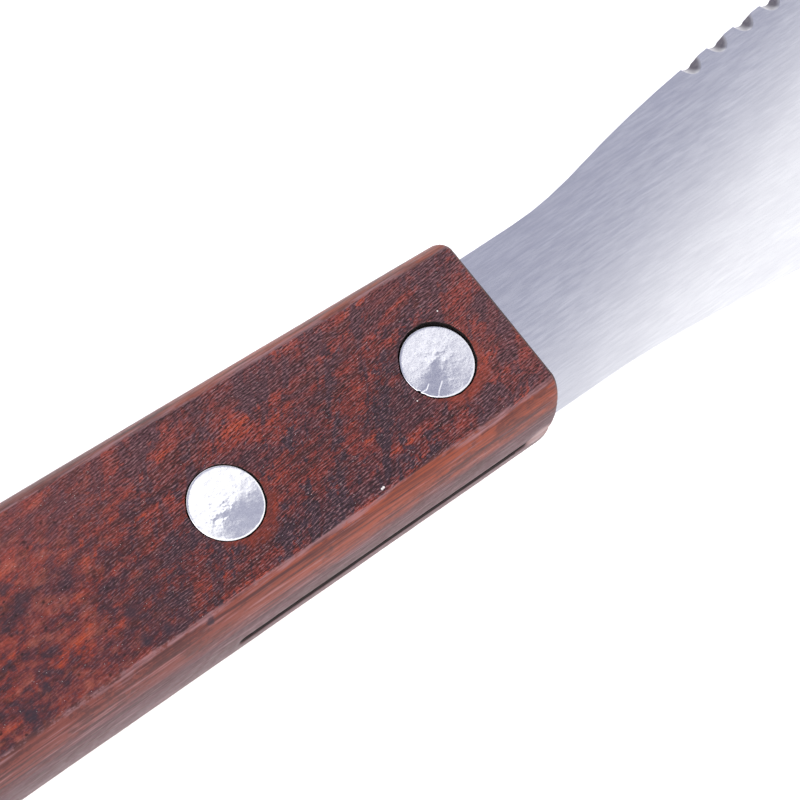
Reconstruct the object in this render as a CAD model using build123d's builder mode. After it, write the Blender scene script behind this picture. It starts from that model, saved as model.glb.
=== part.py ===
from build123d import *
import os
from math import cos, radians, sin

# Uncapping knife: a long stainless blade with one serrated edge, held in a sawn
# wooden handle by two solid aluminium rivets.
#
# Frame: the knife lies on the back of its handle. +X runs from the handle to the tip,
# +Y points to the serrated edge and +Z is the upper broad face. The origin is on the
# resting face, on the line through the two rivets, at the middle of the handle's length.
# All lengths are in millimetres, angles in degrees.

# Handle: one block of wood, a little wider at its butt than at its front.
handle_length = 120
handle_thickness = 20
front_serrated_side = 13.6  # rivet line to the long edge, at the front end
front_plain_side = 11.9
butt_serrated_side = 18.2
butt_plain_side = 12.4
side_depth = 3.4  # how far the rounded long sides stand out from the flat faces
level_angles = (-84, -66, -44, -22, 0, 22, 44, 66, 84)  # round the sides' rounding
butt_corner_radius = 9
front_edge_chamfer = 0.5
front_x = handle_length / 2
butt_x = -handle_length / 2
mid_z = handle_thickness / 2

# Saw kerf: cut from the front end by a circular saw, as thick as the blade.
kerf_depth = 47.4
saw_radius = 75

# Blade: one flat sheet. Stations are distances from the front end of the handle.
blade_thickness = 1.2
blade_reach = 275
half_width = 20.5
neck_serrated_side = 11.1
neck_plain_side = 10.9
neck_end = 12
serrated_swell = ((28, 13.5), (42, 15.75), (85, 18.9))  # (station, width to the rivet line)
plain_swell = ((24, 11.7), (37.5, 13.2))
plain_shoulder = (92, 19.1)
plunge_station = 60  # where the ground bevel of the plain edge begins
plunge_plain_side = 16.1
plain_slopes = (0.03, 0.11, 0.13)  # leaving the neck, before the plunge and after it
full_width_station = 140
tip_length = 70
bevel_width = 2.6
bevel_depth = 0.45
tang_depth = 46
tang_end_half_width = 8.5
tang_corner_radius = 2.5

# Serrations: hollows ground into the upper face with a thin round stone.
first_serration = 33.3  # along the edge, from the end of the neck
serration_pitch = 4.85
serration_count = 41
stone_radius = 1.7
stone_length = 6
notch_upper = 1.7  # how far each hollow reaches in, on the upper face
notch_lower = 0.2  # and on the lower face

# Rivets: solid aluminium, a head in a counterbore at each face.
rivet_stations = {"rivet_front": 10.5, "rivet_rear": 41.0}  # back from the front end
shank_radius = 2.5
shank_clearance = 0.08
head_radius = 4.5
counterbore_radius = 4.62
counterbore_depth = 2
rim_stands_proud = 0.15
rim_width = 0.3
dish_depth = 0.3  # below the rim, at the head's centre
back_head_recess = 0.1

os.makedirs("parts", exist_ok=True)


def rivet_locations():
    """Points on the rivet line where the two rivets pass through."""
    return [(front_x - station, 0) for station in rivet_stations.values()]


# Handle: levels follow half an ellipse, so the long sides and the butt are rounded.
with BuildPart() as handle:
    for angle in level_angles:
        rise = sin(radians(angle)) / sin(radians(level_angles[-1]))
        inset = side_depth * (1 - cos(radians(angle)))
        with BuildSketch(Plane.XY.offset(mid_z + mid_z * rise)) as level:
            with BuildLine():
                Polyline(
                    (front_x, front_serrated_side - inset),
                    (butt_x + inset, butt_serrated_side - inset),
                    (butt_x + inset, -butt_plain_side + inset),
                    (front_x, -front_plain_side + inset),
                    close=True,
                )
            make_face()
            fillet(level.vertices().group_by(Axis.X)[0], radius=butt_corner_radius - inset)
    loft()
    chamfer(handle.faces().sort_by(Axis.X)[-1].edges(), length=front_edge_chamfer)
    with BuildSketch(Plane.XY.offset(mid_z - blade_thickness / 2)):
        with Locations((front_x - kerf_depth + saw_radius, 0)):
            Circle(saw_radius)
    extrude(amount=blade_thickness, mode=Mode.SUBTRACT)
    for face_plane in (Plane.XY.offset(handle_thickness), -Plane.XY):
        with Locations(face_plane):
            with Locations(*rivet_locations()):
                CounterBoreHole(
                    radius=shank_radius + shank_clearance,
                    counter_bore_radius=counterbore_radius,
                    counter_bore_depth=counterbore_depth,
                    depth=mid_z,
                )

handle.part.label = "handle"
export_step(handle.part, "parts/handle.step")

# Blade. The two long edges of its outline run from the neck to the tip.
neck_x = front_x + neck_end
full_x = front_x + full_width_station
tip_centre = (front_x + blade_reach - tip_length, 0)
tang_x = front_x - tang_depth
plunge_point = (front_x + plunge_station, -plunge_plain_side)

with BuildLine() as serrated_edge:
    Spline(
        (neck_x, neck_serrated_side),
        *[(front_x + station, width) for station, width in serrated_swell],
        (full_x, half_width),
        tangents=((1, 0), (1, 0)),
    )
    Line((full_x, half_width), (tip_centre[0], half_width))
    EllipticalCenterArc(tip_centre, tip_length, half_width, start_angle=90, arc_size=-90)

with BuildLine() as plain_edge:
    Spline(
        (neck_x, -neck_plain_side),
        *[(front_x + station, -width) for station, width in plain_swell],
        plunge_point,
        tangents=((1, -plain_slopes[0]), (1, -plain_slopes[1])),
    )
    Spline(
        plunge_point,
        (front_x + plain_shoulder[0], -plain_shoulder[1]),
        (full_x, -half_width),
        tangents=((1, -plain_slopes[2]), (1, 0)),
    )
    Line((full_x, -half_width), (tip_centre[0], -half_width))
    EllipticalCenterArc(tip_centre, tip_length, half_width, start_angle=-90, arc_size=90)


def stone_plane(distance):
    """Where the stone's axis lies for the hollow this far along the serrated edge."""
    on_edge = serrated_edge.wire().location_at(distance, position_mode=PositionMode.LENGTH)
    along = serrated_edge.wire().tangent_at(distance, position_mode=PositionMode.LENGTH)
    upward = Vector(0, 0, 1)
    inward = along.cross(upward)
    reach = (notch_upper + notch_lower) / 2
    axis = (inward * (notch_upper - notch_lower) + upward * blade_thickness).normalized()
    deepest = on_edge.position + inward * reach + upward * mid_z
    return Plane(deepest + along.cross(axis) * -stone_radius, x_dir=along, z_dir=axis)


stone_planes = [
    stone_plane(first_serration + count * serration_pitch) for count in range(serration_count)
]

with BuildPart() as blade:
    with BuildSketch(Plane.XY.offset(mid_z - blade_thickness / 2)) as sheet:
        with BuildLine():
            add(serrated_edge)
            add(plain_edge)
            Polyline(
                (neck_x, neck_serrated_side),
                (front_x, neck_serrated_side),
                (tang_x, tang_end_half_width),
                (tang_x, -tang_end_half_width),
                (front_x, -neck_plain_side),
                (neck_x, -neck_plain_side),
            )
        make_face()
        fillet(sheet.vertices().group_by(Axis.X)[0], radius=tang_corner_radius)
        with Locations(*rivet_locations()):
            Circle(shank_radius + shank_clearance, mode=Mode.SUBTRACT)
    extrude(amount=blade_thickness)
    with Locations(*stone_planes):
        Cylinder(stone_radius, stone_length, mode=Mode.SUBTRACT)
    for face_z, inward in ((mid_z + blade_thickness / 2, -1), (mid_z - blade_thickness / 2, 1)):
        with BuildSketch(Plane.YZ):
            Polygon(
                (-half_width + bevel_width, face_z),
                (-half_width - bevel_width, face_z + 2 * inward * bevel_depth),
                (-half_width - bevel_width, face_z),
                align=None,
            )
        extrude(amount=front_x + blade_reach, mode=Mode.SUBTRACT)
blade.part.label = "blade"
export_step(blade.part, "parts/blade.step")

# Rivets: turned shapes. The upper head is dished by the setting punch, the back one is flat.
upper_rim_z = handle_thickness + rim_stands_proud
upper_head_z = handle_thickness - counterbore_depth

for name, station in rivet_stations.items():
    rivet_plane = Plane((front_x - station, 0, 0), x_dir=(1, 0, 0), z_dir=(0, -1, 0))
    with BuildPart() as rivet:
        with BuildSketch(rivet_plane):
            with BuildLine():
                Polyline(
                    (0, back_head_recess),
                    (head_radius, back_head_recess),
                    (head_radius, counterbore_depth),
                    (shank_radius, counterbore_depth),
                    (shank_radius, upper_head_z),
                    (head_radius, upper_head_z),
                    (head_radius, upper_rim_z),
                    (head_radius - rim_width, upper_rim_z),
                    (0, upper_rim_z - dish_depth),
                    close=True,
                )
            make_face()
        revolve(axis=Axis(rivet_plane.origin, (0, 0, 1)))
    rivet.part.label = name
    export_step(rivet.part, f"parts/{name}.step")
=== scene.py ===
"""Looks of the uncapping knife: sawn and lacquered wooden handle, hammered aluminium
rivets and a brushed blade, on a pale floor under soft studio light.

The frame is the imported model's: metres, the knife lying on the back of its handle, +X to
the blade's tip and +Y to the serrated edge. Shapes are worked out in millimetres.
"""
import math

import bmesh
import bpy
import numpy as np
from mathutils import Matrix, Quaternion, Vector, noise


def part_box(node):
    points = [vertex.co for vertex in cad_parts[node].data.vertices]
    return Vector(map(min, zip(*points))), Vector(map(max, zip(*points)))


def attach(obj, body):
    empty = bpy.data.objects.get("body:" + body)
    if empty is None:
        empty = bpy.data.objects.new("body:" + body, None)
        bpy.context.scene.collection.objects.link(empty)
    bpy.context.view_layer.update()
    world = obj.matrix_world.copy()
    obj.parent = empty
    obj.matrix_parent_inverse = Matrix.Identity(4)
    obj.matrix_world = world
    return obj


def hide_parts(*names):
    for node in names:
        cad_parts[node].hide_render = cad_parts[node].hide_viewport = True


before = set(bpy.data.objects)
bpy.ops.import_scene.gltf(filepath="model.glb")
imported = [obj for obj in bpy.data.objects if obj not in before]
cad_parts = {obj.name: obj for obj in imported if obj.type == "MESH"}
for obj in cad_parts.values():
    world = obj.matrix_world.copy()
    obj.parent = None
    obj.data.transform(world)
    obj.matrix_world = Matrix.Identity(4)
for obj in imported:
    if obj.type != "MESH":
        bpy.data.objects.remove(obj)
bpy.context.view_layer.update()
MM = 0.001

handle_low, handle_high = (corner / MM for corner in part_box("handle"))
blade_low, blade_high = (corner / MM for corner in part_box("blade"))
front_x = handle_high.x
top_z = handle_high.z
mid_z = top_z / 2


def link(obj):
    bpy.context.scene.collection.objects.link(obj)
    return obj


# ---------------------------------------------------------------- camera


def make_camera():
    """The viewing angle: above the handle, a little behind it and on its plain side."""
    aim = Vector((front_x - 17.1, -1.3, top_z)) * MM
    distance = 0.3704
    elevation = math.radians(65.5)
    azimuth = math.radians(-149.9)
    roll = math.radians(23.7)
    away = Vector((
        math.cos(elevation) * math.cos(azimuth),
        math.cos(elevation) * math.sin(azimuth),
        math.sin(elevation),
    ))
    data = bpy.data.cameras.new("camera")
    data.sensor_width = 36
    data.lens = 146.6
    data.clip_start = 0.01
    camera = link(bpy.data.objects.new("camera", data))
    camera.location = aim + away * distance
    level = (-away).to_track_quat("-Z", "Y")
    camera.rotation_mode = "QUATERNION"
    camera.rotation_quaternion = level @ Quaternion((0, 0, 1), roll)
    bpy.context.scene.camera = camera


# ---------------------------------------------------------------- shader nodes


class Graph:
    """A node tree, with short calls that add nodes and return their output socket."""

    def __init__(self, tree):
        self.tree = tree

    def add(self, kind, **settings):
        node = self.tree.nodes.new(kind)
        for key, value in settings.items():
            setattr(node, key, value)
        return node

    def put(self, socket, value):
        if isinstance(value, bpy.types.NodeSocket):
            self.tree.links.new(value, socket)
        elif isinstance(value, (tuple, list)) and len(value) == 3 and socket.type == "RGBA":
            socket.default_value = (*value, 1)
        else:
            socket.default_value = value

    def fill(self, node, **values):
        """Put a number, a colour or a link in each named input; _ stands for a space."""
        for key, value in values.items():
            self.put(node.inputs[key.replace("_", " ")], value)
        return node

    def vector(self, operation, a, b, output="Vector"):
        node = self.add("ShaderNodeVectorMath", operation=operation)
        self.put(node.inputs[0], a)
        self.put(node.inputs[1], b)
        return node.outputs[output]

    def distance(self, a, b):
        return self.vector("DISTANCE", a, b, output="Value")

    def math(self, operation, a, b=0.0, clamp=False):
        node = self.add("ShaderNodeMath", operation=operation, use_clamp=clamp)
        self.put(node.inputs[0], a)
        self.put(node.inputs[1], b)
        return node.outputs[0]

    def product(self, first, *others):
        for other in others:
            first = self.math("MULTIPLY", first, other)
        return first

    def combine(self, **axes):
        return self.fill(self.add("ShaderNodeCombineXYZ"), **axes).outputs[0]

    def split(self, vector):
        node = self.add("ShaderNodeSeparateXYZ")
        self.put(node.inputs[0], vector)
        return node.outputs

    def noise(self, vector, stretch, detail=3.0, roughness=0.5, distortion=0.0):
        """Noise whose features are about 1 / stretch long along each axis."""
        node = self.fill(self.add("ShaderNodeTexNoise"),
                         Vector=self.vector("MULTIPLY", vector, stretch), Scale=1.0,
                         Detail=detail, Roughness=roughness, Distortion=distortion)
        return node.outputs["Fac"]

    def cells(self, vector, stretch):
        """Distance from the nearest of many scattered points, about 1 / stretch apart."""
        node = self.fill(self.add("ShaderNodeTexVoronoi"),
                         Vector=self.vector("MULTIPLY", vector, stretch))
        return node.outputs["Distance"]

    def waves(self, vector, **settings):
        """Parallel lines along X; their spacing is 0.314 / scale."""
        node = self.fill(self.add("ShaderNodeTexWave", bands_direction="Y"), Vector=vector,
                         **settings)
        return node.outputs["Fac"]

    def remap(self, value, low, high, new_low=0.0, new_high=1.0):
        """An S-curve from new_low, where the value is low, to new_high, where it is high."""
        node = self.fill(self.add("ShaderNodeMapRange", interpolation_type="SMOOTHSTEP"),
                         Value=value, From_Min=low, From_Max=high, To_Min=new_low,
                         To_Max=new_high)
        return node.outputs["Result"]

    def mix(self, factor, a, b, blend="MIX"):
        node = self.add("ShaderNodeMix", data_type="RGBA", blend_type=blend)
        return self.fill(node, Factor=factor, A=a, B=b).outputs["Result"]

    def bump(self, height, distance, strength, below=None):
        node = self.fill(self.add("ShaderNodeBump"), Height=height, Distance=distance,
                         Strength=strength)
        if below is not None:
            self.put(node.inputs["Normal"], below)
        return node.outputs["Normal"]


class Shader(Graph):
    """One material on the Principled shader, fed by millimetre coordinates."""

    def __init__(self, name):
        self.material = bpy.data.materials.new(name)
        self.material.use_nodes = True
        super().__init__(self.material.node_tree)
        source = self.add("ShaderNodeTexCoord")
        self.mm = self.vector("MULTIPLY", source.outputs["Object"], (1 / MM,) * 3)
        self.normal = self.split(source.outputs["Normal"])

    def turned(self, angle, shift=(0, 0, 0)):
        """Millimetre coordinates turned about Z by angle degrees, then shifted."""
        node = self.fill(self.add("ShaderNodeVectorRotate", rotation_type="Z_AXIS"),
                         Vector=self.mm, Angle=math.radians(-angle))
        return self.vector("ADD", node.outputs[0], shift)

    def finish(self, **inputs):
        self.fill(self.tree.nodes["Principled BSDF"], **inputs)
        return self.material


# ---------------------------------------------------------------- wood

GRAIN_ANGLE = 6.5  # the fibres' slope across the broad face, in degrees
FIGURE_ANGLE = 56  # the direction of the dark figure in the wood
SWAY = 2.2  # how far the fibres wander to the side

BLACK_BROWN = (0.016, 0.005, 0.006)
DEEP_BROWN = (0.060, 0.014, 0.014)
SLATE = (0.040, 0.020, 0.031)
DARK_SLATE = (0.030, 0.018, 0.028)
BRICK = (0.22, 0.031, 0.022)
ORANGE_RED = (0.36, 0.048, 0.013)
OILED_RED = (0.24, 0.030, 0.008)
WORN_ORANGE = (0.36, 0.095, 0.060)
# paler towards the front, and painted light towards the serrated edge's side
PALE_RED = (0.60, 0.20, 0.18)
# pale pink: painted glints on the fibres, painted highlight on the ridges, and pale sanding lines
# on the sides
PALE_PINK_AND_HIGHLIGHT = (0.30, 0.155, 0.165)
CHIP_PINK = (0.55, 0.36, 0.34)
PALE_FLECK = (0.75, 0.70, 0.68)
# dark brown: painted shade in the kerf and the counterbores, and the darker front edge
DARK_CUTS_AND_SHADE = (0.012, 0.006, 0.006)
# the sides by height: orange under the ridges and grey at half the thickness, partly the wood's
# colour and partly painted light
SIDE_ORANGE = (0.245, 0.052, 0.026)
SIDE_RED = (0.155, 0.040, 0.032)
SIDE_GREY = (0.095, 0.036, 0.044)
SIDE_DARK = (0.060, 0.020, 0.020)

# chips of pale dust pressed into the upper face, in millimetres: x, y, radius
FLECKS = ((34.8, -8.6, 0.13), (34.55, -8.65, 0.12), (53.4, 5.0, 0.08), (44.5, -2.5, 0.07))

# stained spots in the upper face, in millimetres: x, y, radius
DARK_SPOTS = ((9.5, -9.8, 0.5), (5.1, -8.2, 0.8), (2.1, -7.7, 0.8), (2.7, -4.3, 0.9),
              (-12.8, -7.4, 0.8), (-9.8, -5.8, 0.7))

KERF_PLUG = (57.9, -11.0, 10.0)  # centre of the pale chip that closes the kerf's mouth


class Wood(Shader):
    """Dark red wood: rough sawn fibres on the broad faces, sanded smooth on the sides."""

    def __init__(self, rivet_centres):
        super().__init__("stained_wood")
        self.rivet_centres = rivet_centres
        self.x, self.y, z = self.split(self.mm)
        self.height = self.math("ABSOLUTE", self.math("SUBTRACT", z, mid_z))
        self.level = self.combine(X=self.x, Y=self.y)
        self.normal_y = self.math("ABSOLUTE", self.normal[1])
        self.normal_z = self.math("ABSOLUTE", self.normal[2])

        # the fibres' own coordinates: slow waves bend them a little
        sway = self.noise(self.turned(GRAIN_ANGLE), (0.05, 0.12, 0.12), detail=2)
        along = self.vector("ADD", self.turned(GRAIN_ANGLE),
                            self.combine(Y=self.product(sway, SWAY)))

        # fine fibres, and marks of a millimetre or so that grow stronger towards the butt
        lines = self.waves(self.vector("MULTIPLY", along, (0.40, 1, 1)), Scale=0.95,
                           Distortion=3.5, Detail=2, Detail_Scale=2.2)
        hair = self.noise(along, (1.9, 10, 10), detail=2, roughness=0.6)
        self.fibre = self.math("ADD", self.product(lines, 0.14), self.product(hair, 0.86))
        mottle = self.noise(along, (0.8, 1.1, 1.1), detail=4, roughness=0.75)
        self.mottle = self.product(self.math("SUBTRACT", mottle, 0.5),
                                   self.remap(self.x, -10, 25, 1.0, 0.5))

        # streaks along the fibres, patches, the figure across them, worn stains and pits
        plain_streak = self.noise(along, (0.09, 0.9, 0.9), detail=4, roughness=0.6)
        patch = self.noise(self.turned(GRAIN_ANGLE, (11, 4, 3)), (0.10, 0.22, 0.22), detail=4,
                           roughness=0.6, distortion=0.8)
        figure = self.noise(self.turned(FIGURE_ANGLE, (5, 2, 0)), (0.10, 0.42, 0.42), detail=4,
                            roughness=0.65, distortion=0.5)
        self.streak = self.math("ADD", plain_streak, self.mottle)
        self.patch = self.math("ADD", patch, self.mottle)
        self.figure = self.math("ADD", figure, self.mottle)
        self.stain = self.noise(along, (0.40, 0.62, 0.62), detail=4, roughness=0.7)
        self.pit = self.cells(along, (0.12, 0.17, 0.17))

        # sanding lines of the sides
        self.long_line = self.noise(self.mm, (0.05, 1.4, 1.4), detail=5, roughness=0.6)
        self.fine_line = self.noise(self.mm, (0.12, 2.8, 2.8), detail=3, roughness=0.6)

        # how level the surface is, with a ragged edge; 1 on the broad faces, 0 on the sides
        uneven = self.product(self.math("SUBTRACT", plain_streak, 0.5), 0.5)
        self.levelness = self.math("ADD", self.normal_z, uneven)
        self.face = self.math("MAXIMUM", self.remap(self.levelness, 0.78, 0.94),
                              self.remap(self.from_rivets(), 5.6, 5.2))

    def from_point(self, x, y):
        """Distance from the upright line through a point."""
        return self.distance(self.level, (x, y, 0))

    def from_rivets(self, x_shift=0, y_shift=0):
        """Distance from the nearer rivet's axis, or from the same line shifted."""
        return self.math("MINIMUM", *(self.from_point(centre.x + x_shift, centre.y + y_shift)
                                      for centre in self.rivet_centres))

    def broad_colour(self):
        colour = self.mix(self.remap(self.streak, 0.34, 0.60), DEEP_BROWN, BRICK)
        colour = self.mix(self.remap(self.streak, 0.54, 0.72), colour, ORANGE_RED)
        dark = self.math("ADD", self.remap(self.patch, 0.44, 0.58, 0, 0.7),
                         self.remap(self.figure, 0.48, 0.58, 0, 0.85), clamp=True)
        dark = self.product(dark, self.remap(self.x, -20, 20, 0.5, 1.0))
        colour = self.mix(dark, colour, SLATE)

        # beside the rivets the wood is smooth and full of oil
        oiled = self.math("ADD", self.from_rivets(0.7, -1.2), self.product(self.streak, 3.0))
        oiled = self.remap(oiled, 6.7, 5.5)
        colour = self.mix(self.product(oiled, 0.55), colour, OILED_RED)

        # hands have worn the butt half; the front is paler, and towards the serrated edge's side
        # the wood is lightened with painted light
        worn = self.remap(self.x, 20, -10)
        orange = self.product(self.remap(self.stain, 0.52, 0.30, 0, 0.55), worn)
        colour = self.mix(orange, colour, WORN_ORANGE)
        slate = self.product(self.remap(self.stain, 0.48, 0.66, 0, 0.85), worn)
        colour = self.mix(slate, colour, DARK_SLATE)
        paler_front_and_painted_light = self.math("MAXIMUM", self.remap(self.y, 0, 13), self.remap(self.x, 40, 58))
        colour = self.mix(self.product(paler_front_and_painted_light, 0.09), colour, PALE_RED)

        # dark fibres, and pale fibre dashes that are painted glints, fainter where the wood is worn
        # or oiled
        rough = self.product(self.remap(self.x, -15, 22, 0.28, 1.0),
                             self.remap(oiled, 0, 1, 1, 0.55))
        dark_fibre = self.product(self.remap(self.fibre, 0.52, 0.39, 0, 0.9), rough)
        colour = self.mix(dark_fibre, colour, BLACK_BROWN)
        pale_fibre_glint = self.product(self.remap(self.fibre, 0.54, 0.69, 0, 0.65), rough)
        colour = self.mix(pale_fibre_glint, colour, PALE_PINK_AND_HIGHLIGHT)

        # dust, pits in the butt half, and the larger flecks
        dust = self.remap(self.cells(self.mm, (0.32, 0.32, 0.32)), 0.055, 0.035)
        colour = self.mix(dust, colour, PALE_FLECK)
        pitted = self.product(self.remap(self.pit, 0.20, 0.05, 0, 0.8),
                              self.remap(self.x, 25, 5))
        colour = self.mix(pitted, colour, BLACK_BROWN)
        for x, y, size in FLECKS:
            fleck = self.remap(self.from_point(x, y), size * 1.3, size)
            colour = self.mix(fleck, colour, PALE_FLECK)
        return colour

    def side_colour(self):
        """Long, even streaks; orange under the ridges and greyer at half the thickness, partly the
        wood's colour and partly painted light.
        """
        band = self.math("ADD", self.height, self.product(self.long_line, 6.0))
        upper = self.mix(self.remap(self.x, 0, 35), SIDE_RED, SIDE_ORANGE)
        colour = self.mix(self.remap(band, 7.0, 10.5), SIDE_GREY, upper)
        colour = self.mix(self.remap(self.long_line, 0.5, 0.36, 0, 0.8), colour, SIDE_DARK)
        colour = self.mix(self.remap(self.patch, 0.50, 0.62, 0, 0.6), colour, SIDE_DARK)
        colour = self.mix(self.remap(self.fine_line, 0.50, 0.38, 0, 0.6), colour, SIDE_DARK)
        return self.mix(self.remap(self.fine_line, 0.54, 0.70, 0, 0.5), colour, PALE_PINK_AND_HIGHLIGHT)

    def ridge(self):
        """The paler band along the ridge between a broad face and a long side: brushed lines,
        lightened as a painted highlight.
        """
        return self.product(
            self.remap(self.normal_y, 0.15, 0.35),
            self.remap(self.levelness, 0.70, 0.82),
            self.remap(self.levelness, 0.88, 0.97, 1, 0),
            self.remap(self.streak, 0.38, 0.56, 0.0, 0.65),
            self.remap(self.fine_line, 0.38, 0.56, 0.35, 1.0),
        )

    def dark_cuts_and_shade(self):
        """The cut surfaces darkened: painted shade on the walls of the kerf and of the
        counterbores, and a darker band along the front edge.
        """
        kerf_shade = self.product(self.remap(self.height, 1.0, 0.8),
                               self.remap(self.normal_z, 0.25, 0.5))
        sunk = self.math("MAXIMUM", self.remap(self.normal_z, 0.95, 0.80),
                         self.remap(self.height, mid_z - 0.4, mid_z - 0.8))
        bore_shade = self.product(self.remap(self.from_rivets(), 5.4, 5.3), sunk)
        front_edge = self.product(self.remap(self.x, front_x - 0.6, front_x - 0.25, 0, 0.85),
                                  self.remap(self.height, mid_z - 3, mid_z - 0.8))
        return self.math("MAXIMUM", self.math("MAXIMUM", kerf_shade, bore_shade), front_edge)


def wood_material(rivet_centres):
    wood = Wood(rivet_centres)
    colour = wood.mix(wood.face, wood.side_colour(), wood.broad_colour())
    # painted highlight along the ridges
    colour = wood.mix(wood.ridge(), colour, PALE_PINK_AND_HIGHLIGHT)
    for x, y, size in DARK_SPOTS:
        away = wood.math("ADD", wood.from_point(x, y), wood.product(wood.mottle, 2.5))
        colour = wood.mix(wood.remap(away, size * 1.3, size * 0.4, 0, 0.75), colour, DARK_SLATE)
    chip = wood.remap(wood.distance(wood.mm, KERF_PLUG), 2.6, 1.6, 0, 0.4)
    colour = wood.mix(chip, colour, CHIP_PINK)
    relief = wood.product(wood.face, wood.remap(wood.x, -15, 22, 0.3, 1.0))
    return wood.finish(
        # painted shade in the kerf and the counterbores, and the darker front edge
        Base_Color=wood.mix(wood.dark_cuts_and_shade(), colour, DARK_CUTS_AND_SHADE),
        Roughness=wood.remap(wood.fibre, 0.3, 0.7, 0.45, 0.62),
        Normal=wood.bump(wood.product(wood.fibre, relief), distance=0.00014, strength=0.8),
        Specular_IOR_Level=0.25,
        Sheen_Weight=0.05,
        Sheen_Roughness=0.35,
    )


# ---------------------------------------------------------------- metal

STEEL_DARK = (0.735, 0.74, 0.77)
STEEL_LIGHT = (0.825, 0.825, 0.85)
STEEL_CLOUD = (0.70, 0.70, 0.735)
SERRATION_PAINTED_LIGHT = (0.50, 0.49, 0.52)  # painted light on the serrations' ground walls that face the tip
SERRATION_PAINTED_SHADE = (0.30, 0.30, 0.345)  # painted shade on the walls that face the handle, near the upper face and deeper down
# darker painted shade deep down in the serrations
SERRATION_DEEP_SHADE = (0.13, 0.12, 0.145)
STONE_GRIT = (0.30, 0.29, 0.29)
# painted shade on the steel inside the handle's kerf
KERF_PAINTED_SHADE = (0.035, 0.012, 0.010)

POLISHED = ((0.82, 0.82, 0.86), (0.96, 0.96, 0.97))  # the rear rivet's darkest and lightest
DULL = ((0.66, 0.66, 0.73), (0.80, 0.80, 0.84))  # and the front one's
BETWEEN_RIVETS = (30, 40)  # x where the polish changes, in millimetres


def steel_material():
    """Brushed stainless sheet; the steep walls of the serrations are ground rougher, and painted
    light and shade colour them: paler facing the tip, darker facing the handle and deeper down.
    """
    s = Shader("brushed_stainless")
    x, y, z = s.split(s.mm)
    line = s.noise(s.mm, (0.24, 3.4, 3.4), detail=4, roughness=0.62)
    scratch = s.noise(s.mm, (0.30, 2.2, 2.2), detail=3, roughness=0.6)
    cloud = s.noise(s.mm, (0.14, 0.40, 0.40), detail=4, roughness=0.6)
    brushed = s.math("ADD", s.product(line, 0.7), s.product(scratch, 0.3))
    colour = s.mix(s.remap(brushed, 0.34, 0.66), STEEL_DARK, STEEL_LIGHT)
    colour = s.mix(s.remap(cloud, 0.36, 0.64, 0.5, 0), colour, STEEL_CLOUD)

    grit = s.noise(s.mm, (3.0, 3.0, 3.0), detail=2)
    # painted shade that deepens down the serrations and on walls facing the handle, painted light
    # on walls facing the tip
    deep = s.remap(z, blade_high.z - 0.02, blade_high.z - 0.50)
    shaded = s.mix(deep, SERRATION_PAINTED_SHADE, SERRATION_DEEP_SHADE)
    ground_and_painted_light = s.mix(s.remap(s.normal[0], -0.30, 0.45), shaded, SERRATION_PAINTED_LIGHT)
    ground_and_painted_light = s.mix(s.remap(grit, 0.4, 0.6, 0, 0.2), ground_and_painted_light, STONE_GRIT)
    steep = s.product(s.remap(s.math("ABSOLUTE", s.normal[2]), 0.90, 0.80),
                      s.remap(y, -1, 1, 0.35, 1.0))  # the plain edge is finer
    colour = s.mix(steep, colour, ground_and_painted_light)
    # the steel inside the handle is painted dark and not metallic: painted shade in the kerf
    inside = s.remap(x, front_x - 0.2, front_x - 0.8)
    return s.finish(
        Base_Color=s.mix(inside, colour, KERF_PAINTED_SHADE),
        Metallic=s.math("SUBTRACT", 1.0, inside),
        Roughness=s.math("MAXIMUM", s.product(steep, 0.5), s.remap(scratch, 0.3, 0.7, 0.07, 0.11)),
        Normal=s.bump(brushed, distance=0.0000025, strength=0.22),
    )


def aluminium_material():
    """Hammered aluminium, less polished and grittier on the front rivet."""
    s = Shader("hammered_aluminium")
    grit = s.noise(s.mm, (4.5, 4.5, 4.5), detail=4, roughness=0.65)
    dent = s.noise(s.mm, (1.1, 1.1, 1.1), detail=3)
    speck = s.remap(grit, 0.35, 0.65)
    front = s.remap(s.split(s.mm)[0], *BETWEEN_RIVETS)
    dents = s.bump(dent, distance=0.00003, strength=0.4)
    grit = s.product(grit, s.remap(front, 0, 1, 0.35, 1.0))
    return s.finish(
        Base_Color=s.mix(front, s.mix(speck, *POLISHED), s.mix(speck, *DULL)),
        Metallic=1.0,
        Roughness=s.math("ADD", s.remap(dent, 0.3, 0.7, 0.09, 0.20), s.product(front, 0.04)),
        Normal=s.bump(grit, distance=0.00002, strength=0.5, below=dents),
    )


# ---------------------------------------------------------------- pieces

# Handle, in millimetres and degrees.
VOXEL = 0.35  # the grid on which the block is remeshed
WAVINESS = 0.05  # how far hand sanding left the wood uneven
KERF_PLUG_SIZE = (2.6, 0.85, 0.9)  # half sizes of the chip
BORE_PLUG = (5.0, 2.5)  # radius and depth of what fills a counterbore before remeshing
BORE_WAVES = ((7, 0), (11, 1), (17, 4))  # waves round a counterbore's edge, and their phases
BORE_WAVINESS = 0.004  # as a part of the radius, as is the tear
TEAR = 0.08  # the front counterbore's edge is torn wider on one side
TEAR_ANGLE = 60
TEAR_WIDTH = 50

# Blade.
EDGE_BREAK = 0.06
FLAT_AREA = 20  # faces larger than this many square millimetres are shaded flat

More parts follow.
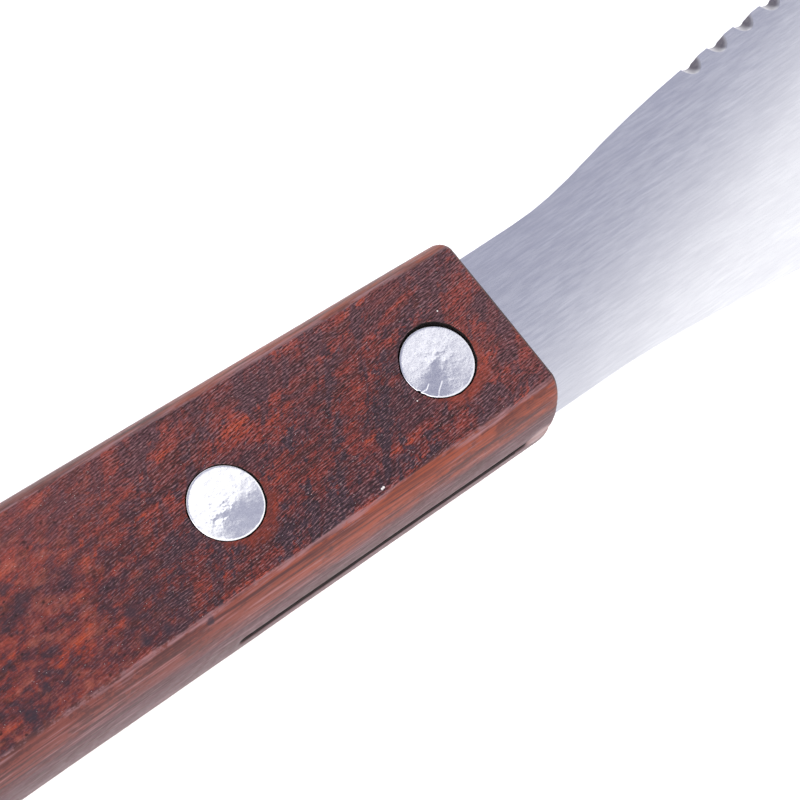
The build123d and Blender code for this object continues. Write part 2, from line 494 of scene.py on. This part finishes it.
# Rivets.
SEGMENTS = 288
SHANK_RADIUS = 2.5
HEAD_DEPTH = 2.0
RIM_ROUNDING = 0.16
ROLL_OFF_WIDTH = 0.2  # the band inside the rim where the hammered face falls away
ROLL_OFF = 0.01
LEAN_ANGLE = 105  # the direction in which the heads were driven up a little
CRACK_HEIGHT = 0.035  # the metal stands up along a crack
CRACK_WIDTH = 0.07
MARK_HEIGHT = 0.006  # hammer marks, and how much higher they are round the dish's apex
APEX_MARK_HEIGHT = 0.020
BACK_UNEVENNESS = 0.03
INNER_RADIUS = 0.06  # the first ring round a head's centre
FACE_RINGS = 76
BACK_RINGS = 40
ROUNDING_ANGLES = (18, 36, 54, 72, 90)

# How each upper head was hammered, in millimetres from its centre and slopes: the punch
# mark's deepest point, the dish's slope, how far the head leans, the direction, width and
# slope of the fan where the dish climbs faster, the height of the edge over the wood, where
# the rim is chipped, and the cracks in from it.
HEADS = {
    "rivet_front": {
        "apex": (0.3, 0.6),
        "slope": 0.020,
        "lean": 0.040,
        "fan_angle": 249,
        "fan_width": 30,
        "fan_slope": 0.070,
        "edge_height": -0.16,
        "notch_angle": 203,
        "cracks": (
            ((-4.40, -1.80), (-3.20, -1.90), (-2.60, -1.50)),
            ((-2.75, -3.46), (-2.20, -2.90), (-1.10, -2.10)),
        ),
    },
    "rivet_rear": {
        "apex": (-1.3, -0.6),
        "slope": 0.020,
        "lean": 0.050,
        "fan_angle": 305,
        "fan_width": 36,
        "fan_slope": 0.060,
        "edge_height": -0.08,
        "notch_angle": None,
        "cracks": (),
    },
}


def new_piece(name, mesh, material, cad_node):
    """A visible piece that stands for one CAD node and rides on the knife's one body."""
    mesh.materials.clear()
    mesh.materials.append(material)
    piece = link(bpy.data.objects.new(name, mesh))
    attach(piece, "root")
    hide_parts(cad_node)
    return piece


def modified_copy(mesh, modifiers):
    """The mesh after a list of (type, settings) modifiers."""
    helper = link(bpy.data.objects.new("helper", mesh))
    for kind, settings in modifiers:
        modifier = helper.modifiers.new(kind, kind)
        for key, value in settings.items():
            setattr(modifier, key, value)
    graph = bpy.context.evaluated_depsgraph_get()
    result = bpy.data.meshes.new_from_object(helper.evaluated_get(graph))
    bpy.data.objects.remove(helper)
    return result


def welded(mesh):
    """The CAD node's mesh with its seams joined and its flat areas made single faces."""
    work = bmesh.new()
    work.from_mesh(mesh)
    bmesh.ops.remove_doubles(work, verts=work.verts, dist=1e-6)
    bmesh.ops.dissolve_limit(work, angle_limit=math.radians(0.5), verts=work.verts,
                             edges=work.edges)
    result = bpy.data.meshes.new("welded")
    work.to_mesh(result)
    work.free()
    return result


def lathe_mesh(name, rings):
    """A closed mesh from rings of points, from the top pole to the bottom pole."""
    count = rings.shape[1]
    points = np.concatenate([rings[0].mean(0)[None], rings.reshape(-1, 3), rings[-1].mean(0)[None]])
    last = len(points) - 1
    faces = []
    for i in range(count):
        j = (i + 1) % count
        faces.append((0, 1 + i, 1 + j))
        for ring in range(rings.shape[0] - 1):
            upper = 1 + ring * count
            lower = upper + count
            faces.append((upper + i, lower + i, lower + j, upper + j))
        base = 1 + (rings.shape[0] - 1) * count
        faces.append((last, base + j, base + i))
    mesh = bpy.data.meshes.new(name)
    mesh.from_pydata((points * MM).tolist(), [], faces)
    mesh.validate()
    return mesh


def rivet_middle(name):
    return sum(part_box(name), Vector()) / (2 * MM)


def degrees_off(angles, middle):
    """How far each angle, in radians, is from a middle one in degrees; between -180 and 180."""
    return (np.degrees(angles) - middle + 180) % 360 - 180


def bore_radius(middle):
    """The radius of the CAD counterbore: its edge is the nearest point of the upper face."""
    corners = (vertex.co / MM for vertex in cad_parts["handle"].data.vertices)
    return min((corner - middle).xy.length for corner in corners if corner.z > top_z - 0.01)


def bore_cutter(name):
    """What the drill takes out for one rivet: two counterbores and the shank's hole."""
    middle = rivet_middle(name)
    radius = bore_radius(middle)
    angles = np.arange(SEGMENTS) * 2 * math.pi / SEGMENTS
    uneven = BORE_WAVINESS * sum(np.sin(count * angles + phase) for count, phase in BORE_WAVES)
    if name == "rivet_front":
        uneven += TEAR * np.exp(-(degrees_off(angles, TEAR_ANGLE) / TEAR_WIDTH) ** 2)
    profile = (
        (radius, top_z + 1),
        (radius, top_z - HEAD_DEPTH),
        (SHANK_RADIUS, top_z - HEAD_DEPTH),
        (SHANK_RADIUS, HEAD_DEPTH),
        (radius, HEAD_DEPTH),
        (radius, -1),
    )
    rings = []
    for distance, height in profile:
        wide = distance * (1 + uneven) if distance > SHANK_RADIUS else distance + 0 * angles
        rings.append(np.stack([middle.x + wide * np.cos(angles), middle.y + wide * np.sin(angles),
                               height + 0 * angles], axis=-1))
    return link(bpy.data.objects.new("cutter", lathe_mesh("cutter", np.array(rings))))


def handle_blank():
    """The CAD block with its rivet holes filled and the mouth of its kerf pinched shut."""
    work = bmesh.new()
    work.from_mesh(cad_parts["handle"].data)
    bmesh.ops.remove_doubles(work, verts=work.verts, dist=1e-6)
    chip = Matrix.LocRotScale(Vector(KERF_PLUG) * MM, None, Vector(KERF_PLUG_SIZE) * MM)
    bmesh.ops.create_icosphere(work, subdivisions=3, radius=1, matrix=chip)
    radius, depth = (size * MM for size in BORE_PLUG)
    for name in HEADS:
        middle = rivet_middle(name) * MM
        for z in (depth / 2, top_z * MM - depth / 2):
            bmesh.ops.create_cone(
                work, cap_ends=True, segments=96, radius1=radius, radius2=radius, depth=depth,
                matrix=Matrix.Translation((middle.x, middle.y, z)),
            )
    mesh = bpy.data.meshes.new("blank")
    work.to_mesh(mesh)
    work.free()
    return mesh


def make_handle(material):
    mesh = modified_copy(handle_blank(), [
        ("REMESH", {"mode": "VOXEL", "voxel_size": VOXEL * MM}),
        ("SMOOTH", {"factor": 0.5, "iterations": 2}),
    ])
    count = len(mesh.vertices)
    places, normals = np.empty(count * 3, np.float32), np.empty(count * 3, np.float32)
    mesh.vertices.foreach_get("co", places)
    mesh.vertices.foreach_get("normal", normals)
    places = places.reshape(-1, 3)
    # slow hollows, with some finer ones in them
    uneven = [noise.noise(Vector(place) * 0.11) + 0.35 * noise.noise(Vector(place) * 0.45)
              for place in places / MM]
    depth = (1 + np.array(uneven)) / 2 * WAVINESS * MM
    moved = places - normals.reshape(-1, 3) * depth[:, None]
    mesh.vertices.foreach_set("co", np.clip(moved, *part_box("handle")).ravel().astype(np.float32))
    cutters = [bore_cutter(name) for name in HEADS]
    mesh = modified_copy(mesh, [
        ("BOOLEAN", {"operation": "DIFFERENCE", "solver": "MANIFOLD", "object": cutter})
        for cutter in cutters
    ])
    for cutter in cutters:
        bpy.data.objects.remove(cutter)
    mesh.polygons.foreach_set("use_smooth", [True] * len(mesh.polygons))
    mesh.set_sharp_from_angle(angle=math.radians(50))
    return new_piece("handle_block", mesh, material, "handle")


def make_blade(material):
    mesh = modified_copy(welded(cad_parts["blade"].data), [
        ("BEVEL", {"width": EDGE_BREAK * MM, "segments": 2, "limit_method": "ANGLE",
                   "angle_limit": math.radians(25)}),
    ])
    mesh.polygons.foreach_set("use_smooth", [True] * len(mesh.polygons))
    mesh.set_sharp_from_angle(angle=math.radians(20))
    flat = {key for polygon in mesh.polygons if polygon.area > FLAT_AREA * MM ** 2
            for key in polygon.edge_keys}
    for edge in mesh.edges:
        edge.use_edge_sharp = edge.use_edge_sharp or edge.key in flat
    return new_piece("blade_sheet", mesh, material, "blade")


def distance_to_line(x, y, line):
    """Distance of each point from a polyline."""
    nearest = np.full(x.shape, np.inf)
    for (ax, ay), (bx, by) in zip(line, line[1:]):
        along = ((x - ax) * (bx - ax) + (y - ay) * (by - ay)) / ((bx - ax) ** 2 + (by - ay) ** 2)
        along = np.clip(along, 0, 1)
        nearest = np.minimum(nearest, np.hypot(x - ax - along * (bx - ax),
                                               y - ay - along * (by - ay)))
    return nearest


def head_relief(head, x, y, radius):
    """Height of a hammered face above the edge of its dish."""
    ax, ay = head["apex"]
    away = np.hypot(x - ax, y - ay)
    turn = np.arctan2(y - ay, x - ax)
    off = degrees_off(turn, head["fan_angle"])
    fan = head["fan_slope"] * np.exp(-(off / head["fan_width"]) ** 2)
    height = (head["slope"] + fan) * (np.sqrt(away ** 2 + 0.35 ** 2) - 0.35)
    lean = math.radians(LEAN_ANGLE)
    height += head["lean"] * (x * math.cos(lean) + y * math.sin(lean))
    outward = np.clip(np.hypot(x, y) - radius + ROLL_OFF_WIDTH, 0, None) / ROLL_OFF_WIDTH
    height -= ROLL_OFF * outward ** 2
    for line in head["cracks"]:
        height += CRACK_HEIGHT * np.exp(-(distance_to_line(x, y, line) / CRACK_WIDTH) ** 2)
    marks = [noise.noise(Vector((px * 1.3, py * 1.3, head["slope"] * 90)))
             + 0.4 * noise.noise(Vector((px * 3.5, py * 3.5, 7)))
             for px, py in zip(x.flat, y.flat)]
    near_apex = np.exp(-(away / 1.6) ** 2)
    height += np.reshape(marks, x.shape) * (MARK_HEIGHT + APEX_MARK_HEIGHT * near_apex)
    return height


def head_outline(head, angles):
    """A head's radius round its edge, as a part of the full radius."""
    uneven = 0.5 * np.sin(3 * angles + 1.1) + 0.3 * np.sin(5 * angles + 2.3)
    outline = 1 - 0.004 * (1 + uneven)
    if head["notch_angle"] is not None:
        off = np.degrees(angles) - head["notch_angle"]
        outline -= 0.045 * np.exp(-(off / 2.2) ** 2) + 0.02 * np.exp(-((off - 9) / 4) ** 2)
    return outline


def make_rivet(cad_node, material):
    """A solid rivet: hammered upper head, shank, and a flat head on the back."""
    head = HEADS[cad_node]
    low, high = (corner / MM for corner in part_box(cad_node))
    centre = (low + high) / 2
    radius = (high.x - low.x) / 2
    angles = np.arange(SEGMENTS) * 2 * math.pi / SEGMENTS
    outline = head_outline(head, angles)
    flat_radius = radius - RIM_ROUNDING

    def ring(distance, height):
        wide = distance * (outline if distance > SHANK_RADIUS else np.ones(SEGMENTS))
        x, y = wide * np.cos(angles), wide * np.sin(angles)
        return np.stack([x + centre.x, y + centre.y, height * np.ones(SEGMENTS)], axis=-1)

    def relief(distance):
        points = ring(distance, 0)
        return head_relief(head, points[:, 0] - centre.x, points[:, 1] - centre.y, flat_radius)

    edge = relief(flat_radius)
    rise = top_z + head["edge_height"] - edge.mean()
    rings = [ring(r, np.minimum(relief(r) + rise, high.z))
             for r in np.linspace(INNER_RADIUS, flat_radius, FACE_RINGS)]
    edge_z = rings[-1][:, 2]
    rounding = [(flat_radius + RIM_ROUNDING * math.sin(turn), RIM_ROUNDING * (1 - math.cos(turn)))
                for turn in np.radians(ROUNDING_ANGLES)]
    rings += [ring(distance, edge_z - drop) for distance, drop in rounding]
    rings += [
        ring(radius, top_z - HEAD_DEPTH / 2),
        ring(radius, top_z - HEAD_DEPTH),
        ring(SHANK_RADIUS, top_z - HEAD_DEPTH),
        ring(SHANK_RADIUS, HEAD_DEPTH),
        ring(radius, HEAD_DEPTH),
        ring(radius, HEAD_DEPTH / 2),
    ]
    rings += [ring(distance, low.z + drop) for distance, drop in reversed(rounding)]
    for r in np.linspace(flat_radius, INNER_RADIUS, BACK_RINGS):
        flat = ring(r, low.z)
        dents = [1 + noise.noise(Vector((px * 0.8, py * 0.8, 3))) for px, py in flat[:, :2]]
        flat[:, 2] += BACK_UNEVENNESS * np.array(dents) * (1 - r / radius)
        rings.append(flat)
    mesh = lathe_mesh(cad_node, np.array(rings))
    mesh.polygons.foreach_set("use_smooth", [True] * len(mesh.polygons))
    mesh.set_sharp_from_angle(angle=math.radians(40))
    return new_piece(cad_node + "_shape", mesh, material, cad_node)


# ---------------------------------------------------------------- stage

# The studio's dome: grey-blue overhead towards the serrated edge, white panels over the
# plain side and all round the horizon, and one soft light behind the handle.
DOME_GREY = (0.47, 0.48, 0.60)
DOME_WHITE = (1.32, 1.32, 1.34)
PANEL_SIDE = (0.26, -0.966, 0)  # the direction in which the dome turns white
PANEL_EDGE = (-0.093, -0.044)  # where it begins to, and where it is white
HORIZON = (0.55, 0.30)  # heights of the direction between which it turns white as well
SOFT_LIGHT = Vector((-0.62, -0.10, 0.72)).normalized()
SOFT_LIGHT_EDGE = (34, 8)  # degrees from it where the glow begins, and where it is full
SOFT_LIGHT_COLOUR = (2.6, 2.574, 2.522)
FLOOR_SIZE = 4  # metres
FLOOR_GREYS = ((0.92, 0.92, 0.92), (0.94, 0.94, 0.94))
FLOOR_GLOW = 0.45


def floor_material():
    s = Shader("pale_floor")
    speck = s.noise(s.mm, (0.05, 0.05, 0.05), detail=4)
    colour = s.mix(s.remap(speck, 0.3, 0.7), *FLOOR_GREYS)
    return s.finish(Base_Color=colour, Roughness=0.8, Emission_Color=colour,
                    Emission_Strength=FLOOR_GLOW)


def make_studio():
    """A pale floor under a soft dome with one wide, soft light in it."""
    bpy.ops.mesh.primitive_plane_add(size=FLOOR_SIZE)
    floor = bpy.context.object
    floor.name = "floor"
    floor.data.materials.append(floor_material())
    world = bpy.data.worlds.new("studio")
    world.use_nodes = True
    sky = Graph(world.node_tree)
    direction = sky.add("ShaderNodeTexCoord").outputs["Generated"]
    panel = sky.vector("DOT_PRODUCT", direction, PANEL_SIDE, output="Value")
    horizon = sky.remap(sky.split(direction)[2], *HORIZON)
    white = sky.math("MAXIMUM", sky.remap(panel, *PANEL_EDGE), horizon)
    dome = sky.mix(white, DOME_GREY, DOME_WHITE)
    nearness = sky.vector("DOT_PRODUCT", direction, SOFT_LIGHT, output="Value")
    lit = sky.remap(nearness, *(math.cos(math.radians(edge)) for edge in SOFT_LIGHT_EDGE))
    glow = sky.mix(lit, (0, 0, 0), SOFT_LIGHT_COLOUR)
    light = sky.mix(1.0, dome, glow, blend="ADD")
    sky.fill(world.node_tree.nodes["Background"], Color=light)
    bpy.context.scene.world = world
    bpy.context.scene.view_settings.view_transform = "Standard"


make_camera()
make_studio()
make_handle(wood_material([rivet_middle(name) for name in HEADS]))
make_blade(steel_material())
aluminium = aluminium_material()
for rivet_name in HEADS:
    make_rivet(rivet_name, aluminium)
